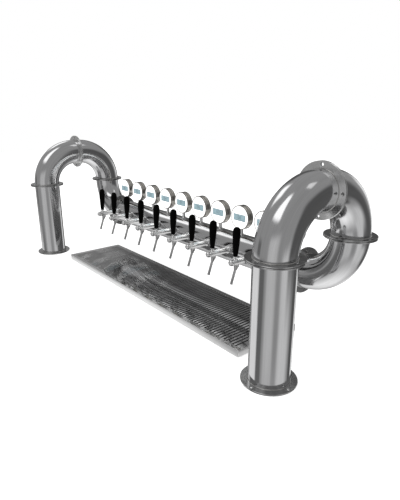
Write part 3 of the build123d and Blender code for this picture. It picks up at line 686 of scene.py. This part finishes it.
# %% Grip outline
def bezier(points, steps):
    """Points of a quadratic Bezier curve after its start."""
    (r0, z0), (r1, z1), (r2, z2) = points
    spots = [(i + 1) / steps for i in range(steps)]
    return [((1 - t) ** 2 * r0 + 2 * t * (1 - t) * r1 + t * t * r2,
             (1 - t) ** 2 * z0 + 2 * t * (1 - t) * z1 + t * t * z2) for t in spots]


BALL_Z, BALL_R = 9.5, 5
GRIP_FOOT, GRIP_TOP = 18.4, 109.9
NECK_R, GRIP_R, CROWN_R = 7.25, 12.25, 10.5
WIDE_Z, CROWN_Z, CROWN_H = 87.94, 102.9, 7
HANDLE_LEAN = math.radians(2.5)

grip_outline = [(0, GRIP_FOOT), (5.6, GRIP_FOOT), (6.25, GRIP_FOOT + 0.1), (6.9, GRIP_FOOT + 0.4),
                (NECK_R, GRIP_FOOT + 1)]
grip_outline += bezier([(NECK_R, GRIP_FOOT + 1), (GRIP_R, 70.6), (GRIP_R, WIDE_Z)], 16)
grip_outline += bezier([(GRIP_R, WIDE_Z), (GRIP_R, 95.4), (CROWN_R, CROWN_Z)], 8)
dome = (CROWN_R ** 2 + CROWN_H ** 2) / (2 * CROWN_H)
dome_start = 90 - math.degrees(math.asin(CROWN_R / dome))
grip_outline += arc(0, GRIP_TOP - dome, dome, dome_start + 4, 90, 9)


def leaned(piece):
    """Lean back about the ball's centre, and stand on the handle's axis."""
    back = Matrix.Rotation(-HANDLE_LEAN, 4, "X")
    ball = Matrix.Translation((0, -HANDLE_REACH * mm, BALL_Z * mm))
    piece.matrix_world = ball @ back @ Matrix.Translation((0, 0, -BALL_Z * mm))
    return settle(piece)


# %% [markdown]
# ## Black moulded plastic
# The grips are matt black plastic with a fine spark-eroded texture. Black that is too even looks
# like a hole, so the texture has a small bump, and the roughness falls a little in soft patches,
# as hands rub them.


# %% Grip plastic
def grip_plastic():
    plastic = finish_named("grip_plastic")
    pebble = plastic.noise(plastic.place(scale=(1600, 1600, 1600)), 2.0)
    handled = plastic.noise(plastic.place(scale=(60, 60, 30)), 2.0)
    shade = handled * 0.0008 + pebble * 0.0006 + 0.0002
    colour = plastic.tint(shade)
    return plastic.set(Base_Color=colour, Normal=plastic.bump(pebble, 0.25, 0.1 * mm),
                       Roughness=0.66 - handled * 0.12, Specular_IOR_Level=0.04)


GRIP_PLASTIC = grip_plastic()
grip = smooth(leaned(lathe("grip", grip_outline, 48)), 50)
grip.data.materials.append(GRIP_PLASTIC)
row(grip, "tap_{:02d}_handle", TAP_Z)

lever_outline = arc(0, BALL_Z, BALL_R, -90, 55, 12)
lever_outline += [(2.5, 14.1), (2.5, 15.4), (3.2, 15.8), (5.8, 15.8)]
lever_outline += arc(5.8, 17.0, 1.2, -90, 0, 4) + [(7, 18), (6.7, GRIP_FOOT), (0, GRIP_FOOT)]
lever = smooth(leaned(lathe("lever", lever_outline, 48)), 40)
lever.data.materials.append(TAP_STEEL)
row(lever, "tap_{:02d}_handle", TAP_Z)

# %% [markdown]
# ## Medallions
# A medallion is a chromed drum with a lit white face, on a post whose collar stands on the bar.
# The drum has a bezel in front, a rounded back edge, and a rebate that takes the face. The face
# is an acrylic disc that glows almost evenly, so it gets emission with a faint cloud in it.


# %% Medallion finishes
def medal_chrome():
    chrome = finish_named("medal_chrome")
    wiped = chrome.noise(chrome.place(scale=(90, 90, 90)), 3.0)
    tone = wiped * 0.24 + 0.36
    colour = chrome.tint(tone, red=1.04, blue=0.93)
    return chrome.set(Base_Color=colour, Metallic=1.0, Roughness=wiped * 0.05 + 0.04)


def face_acrylic():
    acrylic = finish_named("face_acrylic")
    frost = acrylic.noise(acrylic.place(scale=(900, 900, 900)), 2.0)
    cloud = acrylic.noise(acrylic.place(scale=(30, 30, 30)), 2.0)
    glow = cloud * 0.05 + frost * 0.02 + 0.90
    colour = acrylic.tint(glow)
    return acrylic.set(Base_Color=colour, Emission_Color=colour, Emission_Strength=0.75,
                       Roughness=frost * 0.1 + 0.25, Normal=acrylic.bump(frost, 0.05, 0.1 * mm))


def label_print(name, dark):
    """Pale blue card, or the darker ink on it."""
    card = finish_named(name)
    fibre = card.noise(card.place(scale=(700, 700, 700)), 3.0)
    fade = card.noise(card.place(scale=(60, 60, 60)), 2.0)
    tone = fibre * 0.10 + fade * 0.20 + 0.85
    first = card.blend(fade, dark, tuple(min(1.0, c * 1.25) for c in dark))
    colour = card.node("ShaderNodeVectorMath", {"operation": "SCALE"}, {0: first, "Scale": tone})
    return card.set(Base_Color=colour, Emission_Color=colour, Emission_Strength=0.15,
                    Roughness=fibre * 0.2 + 0.35)


MEDAL_CHROME = medal_chrome()
FACE_ACRYLIC = face_acrylic()
LABEL_CARD = label_print("label_card", (0.28, 0.40, 0.44, 1.0))
LABEL_INK = label_print("label_ink", (0.14, 0.21, 0.25, 1.0))
print("finishes", MEDAL_CHROME.name, FACE_ACRYLIC.name, LABEL_CARD.name, LABEL_INK.name)

# %% Drum, face and post
MEDAL_R, HALF_DRUM, BACK_ROUND, BEZEL_ROUND = 41, 12.5, 2.5, 1
GROOVE_R, GROOVE_FEET = MEDAL_R - 0.4, (-4.4, 7)
FACE_BACK = 9.2

drum_outline = [(0, -HALF_DRUM)]
drum_outline += arc(MEDAL_R - BACK_ROUND, BACK_ROUND - HALF_DRUM, BACK_ROUND, -90, 0, 6)
for foot in GROOVE_FEET:
    drum_outline += [(MEDAL_R, foot), (GROOVE_R, foot + 0.4), (GROOVE_R, foot + 1),
                     (MEDAL_R, foot + 1.4)]
drum_outline += arc(MEDAL_R - BEZEL_ROUND, HALF_DRUM - BEZEL_ROUND, BEZEL_ROUND, 0, 90, 4)
drum_outline += [(38.9, HALF_DRUM), (38.5, 12.1), (38.5, FACE_BACK), (36, FACE_BACK),
                 (36, -10.5), (0, -10.5)]
drum = smooth(lathe("drum", drum_outline, ROUND_STEPS, front=True), 35)
drum.data.materials.append(MEDAL_CHROME)
row(drum, "medallion_housings", MEDAL_Z)

face_outline = [(0, FACE_BACK), (38.2, FACE_BACK)] + arc(37.7, 11.6, 0.5, 0, 90, 3)
face_outline += [(30, 12.2), (0, 12.2)]
face = smooth(lathe("face", face_outline, ROUND_STEPS, front=True))
face.data.materials.append(FACE_ACRYLIC)
row(face, "medallion_faces", MEDAL_Z)

post_outline = [(3, -50), (5.5, -50), (5.5, -48), (8.5, -48), (8.5, -39.5), (7.0, -38), (5.9, -38),
                (5.5, -37.6), (5.5, -19), (3, -19), (3, -50)]
post = lathe("post", post_outline, 40)
post.location = (0, 0, (BAR_Z + PIPE_R + MEDAL_R - MEDAL_Z) * mm)
settle(post)
print("post box", [round(v, 4) for v in post.dimensions])
smooth(post)
post.data.materials.append(TAP_STEEL)
row(post, "medallion_posts", MEDAL_Z)

# %% [markdown]
# ## Labels
# Each face carries a small card with rounded corners: a pale blue field with a darker frame and
# the tap's plain number. The card is a cube whose edges from front to back are bevelled in edit
# mode, and the frame is two insets of its front. The number is a text object, which becomes a
# mesh before it is placed.


# %% Label cards
LABEL_W, LABEL_H, LABEL_T, LABEL_ROUND = 54, 22, 0.6, 2
FRAME_INSETS = (0.8, 0.9)
DIGIT_H, DIGIT_T = 17, 0.1


def label(number, x):
    only()
    bpy.ops.mesh.primitive_cube_add(size=1, location=(0, 0, 0))
    card = bpy.context.object
    card.name = f"label_{number:02d}"
    card.scale = (LABEL_W * mm, LABEL_T * mm, LABEL_H * mm)
    settle(card)
    points = card.data.vertices
    pick(card, "EDGE",
         lambda e: abs(points[e.vertices[0]].co.y - points[e.vertices[1]].co.y) > 0.1 * mm)
    bpy.ops.mesh.bevel(offset=LABEL_ROUND * mm, segments=5)
    pick(card, "FACE", lambda f: f.normal.y < -0.9)
    for width in FRAME_INSETS:
        bpy.ops.mesh.inset(thickness=width * mm, depth=0)
    bpy.ops.object.mode_set(mode="OBJECT")
    card.data.materials.append(LABEL_CARD)
    card.data.materials.append(LABEL_INK)
    field_x, field_z = ((size / 2 - sum(FRAME_INSETS)) * mm for size in (LABEL_W, LABEL_H))
    for f in card.data.polygons:
        in_frame = abs(f.center.x) > field_x or abs(f.center.z) > field_z
        f.material_index = 1 if f.normal.y < -0.9 and in_frame else 0
    only()
    bpy.ops.object.text_add(location=(0, 0, 0), rotation=(math.pi / 2, 0, 0))
    digits = bpy.context.object
    digits.data.body = f"{number:02d}"
    digits.data.align_x = "CENTER"
    digits.data.align_y = "CENTER"
    digits.data.size = DIGIT_H * mm
    digits.data.extrude = DIGIT_T * mm
    bpy.ops.object.convert(target="MESH")
    digits = bpy.context.object
    digits.location = (0, -(LABEL_T / 2 + DIGIT_T / 2) * mm, 0)
    settle(digits)
    digits.data.materials.append(LABEL_INK)
    card = join(digits, card)
    card.location = (x * mm, (BACK_Y - HALF_DRUM) * mm, MEDAL_Z * mm)
    return dress(settle(card), "medallion_labels")


labels = [label(number, x) for number, x in enumerate(TAP_XS, 1)]
print("labels", len(labels), "faces", len(labels[0].data.polygons))

# %% [markdown]
# ## Tray steel
# The tray is made of brushed sheet. A brush leaves straight lines, which run along the pan and
# from front to back on the grille, in the steel's shade, its roughness and its bump. Object
# coordinates serve here, because the sheet is flat: they are squeezed across the grain and drawn
# out along it. The grille is polished over its grain, so it mirrors the taps and the bar.


# %% Brushed sheet
def brushed_sheet(name, scale, shade, roughness, relief):
    sheet = finish_named(name)
    lines = sheet.noise(sheet.place(scale=scale), 3.0, 0.6)
    worn = sheet.noise(sheet.place(scale=(9, 12, 12)), 3.0)
    tone = lines * 0.16 + worn * 0.16 + (shade - 0.16)
    colour = sheet.tint(tone)
    return sheet.set(Base_Color=colour, Metallic=1.0,
                     Normal=sheet.bump(lines, relief, 0.2 * mm),
                     Roughness=(lines + worn) * (roughness * 0.3) + roughness)


PAN_STEEL = brushed_sheet("pan_steel", (6, 900, 900), 0.90, 0.28, 0.10)
# The inside of the pan is made dark: painted shade under the grille, so that the slots look shaded.
BASIN_STEEL_PAINTED_SHADE = brushed_sheet("basin_steel_painted_shade", (6, 900, 900), 0.22, 0.40, 0.15)
GRILLE_STEEL = brushed_sheet("grille_steel", (900, 12, 900), 0.68, 0.055, 0.05)
print("finishes", PAN_STEEL.name, BASIN_STEEL_PAINTED_SHADE.name, GRILLE_STEEL.name)

# %% [markdown]
# ## Drip tray
# The pan starts as a block. Its four upright edges are rounded, its top is inset and pushed down
# to the ledge, inset again for the ledge's width, and pushed down to the floor of the pan. The
# rim has a small round all along.

# %% Pan
TRAY_MID, TRAY_SIZE = (26.0, -21.0), (1058.0, 238.0)
TRAY_H, TRAY_WALL, LEDGE_TOP, LEDGE_W = 20.3, 1.5, 17.5, 6.0
only()
bpy.ops.mesh.primitive_cube_add(
    size=1, location=(TRAY_MID[0] * mm, TRAY_MID[1] * mm, TRAY_H / 2 * mm))
pan = bpy.context.object
pan.name = "pan"
pan.scale = (TRAY_SIZE[0] * mm, TRAY_SIZE[1] * mm, TRAY_H * mm)
settle(pan)


def upright_edge(mesh):
    points = mesh.vertices
    return lambda e: abs(points[e.vertices[0]].co.z - points[e.vertices[1]].co.z) > mm


pick(pan, "EDGE", upright_edge(pan.data))
bpy.ops.mesh.bevel(offset=3 * mm, segments=5)
pick(pan, "FACE", lambda f: f.normal.z > 0.9)
bpy.ops.mesh.inset(thickness=TRAY_WALL * mm, depth=0)
to_ledge = {"value": (0, 0, (LEDGE_TOP - TRAY_H) * mm)}
bpy.ops.mesh.extrude_region_move(TRANSFORM_OT_translate=to_ledge)
bpy.ops.mesh.inset(thickness=LEDGE_W * mm, depth=0)
to_floor = {"value": (0, 0, (TRAY_WALL - LEDGE_TOP) * mm)}
bpy.ops.mesh.extrude_region_move(TRANSFORM_OT_translate=to_floor)
modify(pan, "BEVEL", width=0.45 * mm, segments=2, limit_method="ANGLE",
       angle_limit=math.radians(60))
smooth(pan, 25)
pan.data.materials.append(PAN_STEEL)
pan.data.materials.append(BASIN_STEEL_PAINTED_SHADE)
# Faces inside the pan take the dark basin steel, which is painted shade under the grille.
half_sides = [size / 2 * mm - 1.2 * TRAY_WALL * mm for size in TRAY_SIZE]
for side in pan.data.polygons:
    inward = all(abs(side.center[i] - TRAY_MID[i] * mm) < half_sides[i] for i in (0, 1))
    side.material_index = 1 if inward and side.center.z > mm else 0
dress(pan, "drip_tray")
print("pan", [round(v, 4) for v in pan.dimensions])

# %% [markdown]
# ## Grille
# The grille is a plate with 85 slots from front to back. One strip is made with its slot cut and
# the slot's upper edge broken, its two side faces are taken off, and Array repeats it along the
# tray and merges the strips. The plain ends are then extruded from the open edges.

# %% Grille
SLOT_PITCH, SLOT_W, GRILLE_T, GRILLE_Z = 12.0, 6.0, 2.0, 17.8
GRILLE_PLAY, PLAIN_ENDS, PLAIN_SIDES = 5.0, 32, 28.0
GRILLE_SIZE = (TRAY_SIZE[0] - GRILLE_PLAY, TRAY_SIZE[1] - GRILLE_PLAY)
SLOTS = int((TRAY_SIZE[0] - PLAIN_ENDS) / SLOT_PITCH)
SLOT_L = TRAY_SIZE[1] - PLAIN_SIDES
start_x = TRAY_MID[0] - (SLOTS - 1) / 2 * SLOT_PITCH
only()
bpy.ops.mesh.primitive_cube_add(
    size=1, location=(start_x * mm, TRAY_MID[1] * mm, (GRILLE_Z + GRILLE_T / 2) * mm))
grille = bpy.context.object
grille.name = "grille"
grille.scale = (SLOT_PITCH * mm, GRILLE_SIZE[1] * mm, GRILLE_T * mm)
settle(grille)
bpy.ops.mesh.primitive_circle_add(vertices=16, radius=SLOT_W / 2 * mm, fill_type="NGON")
slot = bpy.context.object
for sign in (-1, 1):
    pick(slot, "VERT", lambda v: v.co.y * sign > 0.1 * mm)
    bpy.ops.transform.translate(value=(0, sign * (SLOT_L - SLOT_W) / 2 * mm, 0))
bpy.ops.mesh.select_all(action="SELECT")
bpy.ops.mesh.extrude_region_move(TRANSFORM_OT_translate={"value": (0, 0, 3 * GRILLE_T * mm)})
bpy.ops.mesh.select_all(action="SELECT")
bpy.ops.mesh.normals_make_consistent(inside=False)
bpy.ops.object.mode_set(mode="OBJECT")
slot.location = (start_x * mm, TRAY_MID[1] * mm, (GRILLE_Z - GRILLE_T) * mm)
carve(grille, settle(slot))


def slot_rim(mesh):
    """Test for the upper edge of the slot."""
    top, half, middle = (GRILLE_Z + GRILLE_T - 0.1) * mm, 4 * mm, start_x * mm
    points = mesh.vertices
    return lambda e: all(points[i].co.z > top and abs(points[i].co.x - middle) < half
                         for i in e.vertices)


pick(grille, "EDGE", slot_rim(grille.data))
bpy.ops.mesh.bevel(offset=0.35 * mm, segments=1)
pick(grille, "FACE", lambda f: abs(f.normal.x) > 0.9 and abs(f.center.x - start_x * mm) > 5 * mm)
bpy.ops.mesh.delete(type="FACE")
modify(grille, "ARRAY", count=SLOTS, use_relative_offset=False, use_constant_offset=True,
       constant_offset_displace=(SLOT_PITCH * mm, 0, 0), use_merge_vertices=True,
       merge_threshold=0.01 * mm)
for sign in (-1, 1):
    end_x = TRAY_MID[0] + sign * SLOTS * SLOT_PITCH / 2
    margin = GRILLE_SIZE[0] / 2 - SLOTS * SLOT_PITCH / 2
    points = grille.data.vertices
    pick(grille, "EDGE", lambda e: all(abs(points[i].co.x - end_x * mm) < 0.01 * mm
                                       for i in e.vertices))
    bpy.ops.mesh.extrude_region_move(TRANSFORM_OT_translate={"value": (sign * margin * mm, 0, 0)})
    bpy.ops.mesh.edge_face_add()
bpy.ops.mesh.select_all(action="SELECT")
bpy.ops.mesh.normals_make_consistent(inside=False)
bpy.ops.object.mode_set(mode="OBJECT")
smooth(grille)
grille.data.materials.append(GRILLE_STEEL)
dress(grille, "drip_grille")
print("grille", [round(v, 4) for v in grille.dimensions], "faces", len(grille.data.polygons))

# %% [markdown]
# ## The pieces inside
# Gaskets, shanks, nuts, valve pistons, lines and wiring keep their measured shape, because next
# to nothing of them shows. Each still gets a finish of its own kind: rubber with a fine grain,
# plain turned steel, brass, pale line and moulded plastic.


# %% Finishes of the inner pieces
def even_finish(name, colour, metallic, roughness, scale, depth):
    finish = finish_named(name)
    grain = finish.noise(finish.place(scale=(scale, scale, scale)), 3.0)
    cloud = finish.noise(finish.place(scale=(80, 80, 80)), 2.0)
    light = tuple(min(1.0, c * 1.3) for c in colour[:3]) + (1.0,)
    mixed = finish.blend(grain * 0.6 + cloud * 0.4, colour, light)
    return finish.set(Base_Color=mixed, Metallic=metallic, Roughness=grain * 0.2 + roughness,
                      Normal=finish.bump(grain, depth, 0.2 * mm))


INNER = {
    "flange_gaskets": even_finish("gasket_sheet", (0.10, 0.10, 0.10, 1), 0.0, 0.55, 700, 0.3),
    "base_gaskets": even_finish("base_rubber", (0.015, 0.015, 0.016, 1), 0.0, 0.6, 900, 0.3),
    "spigot_rings": even_finish("ring_steel", (0.42, 0.42, 0.43, 1), 1.0, 0.25, 500, 0.1),
    "tap_shanks": even_finish("shank_brass", (0.62, 0.46, 0.20, 1), 1.0, 0.2, 600, 0.1),
    "lock_washers": even_finish("washer_plastic", (0.75, 0.75, 0.73, 1), 0.0, 0.4, 600, 0.1),
    "beer_lines": even_finish("line_plastic", (0.72, 0.74, 0.74, 1), 0.0, 0.15, 300, 0.05),
    "lamp_wiring": even_finish("wire_sleeve", (0.04, 0.04, 0.045, 1), 0.0, 0.5, 800, 0.2),
    "lamp_boards": even_finish("board_lacquer", (0.03, 0.16, 0.06, 1), 0.0, 0.3, 500, 0.1),
}
INNER["cooling_loop"] = INNER["spigot_rings"]
INNER["lock_nuts"] = INNER["tap_shanks"]
INNER["post_nuts"] = INNER["tap_shanks"]
for number in range(1, TAPS + 1):
    INNER[f"tap_{number:02d}_piston"] = INNER["spigot_rings"]
for name, material in INNER.items():
    mesh = frame["nodes"][name].data
    mesh.materials.clear()
    mesh.materials.append(material)
print("inner nodes", len(INNER))

# %% [markdown]
# ## Studio
# Polished pipes show little of themselves and much of the room, so the room is half of the
# finish. To the camera the background is plain white, and matt pieces are lit by an even pale
# grey. What the steel mirrors is a grey studio. Its pale floor fades into the walls, and is gone
# at `FLOOR_EDGE`, a share of the way from straight down to straight up. A dozen soft cards hang
# in it. Four lights stand round the tower about a quarter turn apart, dark flags between them
# give each tube its dark edges, a softbox and a lamp hang overhead, and a window is seen past
# the bar. A card has the direction to its middle, its half width and half height, a soft edge and
# its shade, and lies over the cards before it.


# %% Room of cards
FLOOR_SHADE = 0.9
WALL_SHADE = 0.5
CEILING_SHADE = 0.5
FLOOR_EDGE = 0.35
DISPLAY_GAMMA, STEEL_REFLECTANCE = 2.2, 0.60
MATT_LIGHT, WHITE = (0.9, 0.9, 0.9, 1.0), (1.0, 1.0, 1.0, 1.0)
CARDS = {
    # turn, tilt, half width, half height, edge (degrees), shade
    "front window": (-65, -10, 15, 20, 15, 0.65),
    "front flag": (-115, -30, 10, 10, 10, 0.35),
    "left flag": (-140, -10, 5, 10, 10, 0.35),
    "left strip": (-155, -30, 20, 10, 10, 0.8),
    "right screen": (15, -30, 20, 10, 20, 0.7),
    "right flag": (45, 0, 20, 15, 15, 0.3),
    "low flag": (75, -25, 10, 10, 10, 0.3),
    "rear strip": (100, -20, 5, 25, 10, 0.8),
    "rear flag": (130, 0, 15, 25, 10, 0.3),
    "overhead softbox": (-95, 60, 20, 15, 10, 1.0),
    "overhead lamp": (45, 60, 10, 5, 5, 0.8),
    "window past the bar": (175, 40, 10, 5, 10, 1.0),
}


def radiance(shade):
    """Light that makes polished steel show this shade."""
    return shade ** DISPLAY_GAMMA / STEEL_REFLECTANCE


def hang(world, turn, tilt, room_shade, values):
    """One soft card over the room behind it."""
    middle, height, half_width, half_height, edge, shade = values
    aside = turn - math.radians(middle)
    aside = aside.math("WRAP", aside, math.pi, -math.pi)
    reach = [(aside, half_width), (tilt - math.radians(height), half_height)]
    masks = []
    for away, half in reach:
        limits = {"Value": away.math("ABSOLUTE", away), "From Min": math.radians(half + edge),
                  "From Max": math.radians(half)}
        masks.append(world.node("ShaderNodeMapRange", {"interpolation_type": "SMOOTHSTEP"}, limits))
    light = radiance(shade)
    return world.blend(masks[0] * masks[1], room_shade, (light, light, light, 1.0))


def room():
    scene = bpy.context.scene
    scene.view_settings.view_transform = "Standard"
    scene.world = bpy.data.worlds.new("studio")
    world = Sheet(scene.world)
    x, y, z = world.split(world.node("ShaderNodeTexCoord", output="Generated"))
    turn = x.math("ARCTAN2", y, x)
    tilt = z.math("ARCSINE", z)
    stops = [(0.0, radiance(FLOOR_SHADE)), (FLOOR_EDGE, radiance(WALL_SHADE)),
             (1.0, radiance(CEILING_SHADE))]
    mirrored = world.ramp(tilt / math.pi + 0.5, stops)
    for values in CARDS.values():
        mirrored = hang(world, turn, tilt, mirrored, values)
    to_camera = world.node("ShaderNodeLightPath", output="Is Camera Ray")
    diffuse = world.node("ShaderNodeLightPath", output="Is Diffuse Ray")
    lit = world.blend(diffuse, mirrored, MATT_LIGHT)
    world.set(Color=world.blend(to_camera, lit, WHITE), Strength=1.0)


room()
print("cards", len(CARDS))

# %% [markdown]
# ## Floor and lamp
# The floor is a wide sheet of pale paper. It glows a little, as paper under many lamps does, so
# that no hard shadow is left on it. It is hidden from the steel, which mirrors the room's own
# pale floor instead. One soft lamp gives the matt pieces their light side.

# %% Floor and lamp
FLOOR_SIZE, FLOOR_GLOW = 12, 0.55

only()
bpy.ops.mesh.primitive_grid_add(x_subdivisions=8, y_subdivisions=8, size=FLOOR_SIZE,
                                location=(0, 0, 0))
floor = bpy.context.object
floor.name = "floor"
floor.visible_glossy = False
paper = finish_named("paper_floor")
fibre = paper.noise(paper.place(scale=(40, 40, 40)), 2.0)
paper.set(Base_Color=paper.blend(fibre, (0.88, 0.88, 0.88, 1.0), (0.92, 0.92, 0.92, 1.0)),
          Roughness=0.9, Emission_Color=WHITE, Emission_Strength=FLOOR_GLOW)
floor.data.materials.append(paper.owner)


def soft_light(name, place, target, size, power):
    lamp = bpy.data.lights.new(name, "AREA")
    lamp.shape = "DISK"
    lamp.size = size
    lamp.energy = power
    held = bpy.data.objects.new(name, lamp)
    held.location = place
    held.rotation_euler = (Vector(target) - Vector(place)).to_track_quat("-Z", "Y").to_euler()
    held.visible_glossy = False
    bpy.context.scene.collection.objects.link(held)


soft_light("softbox", place=(-0.6, -2.2, 2.2), target=(0, 0, 0.2), size=0.8, power=14)
print("studio ready")
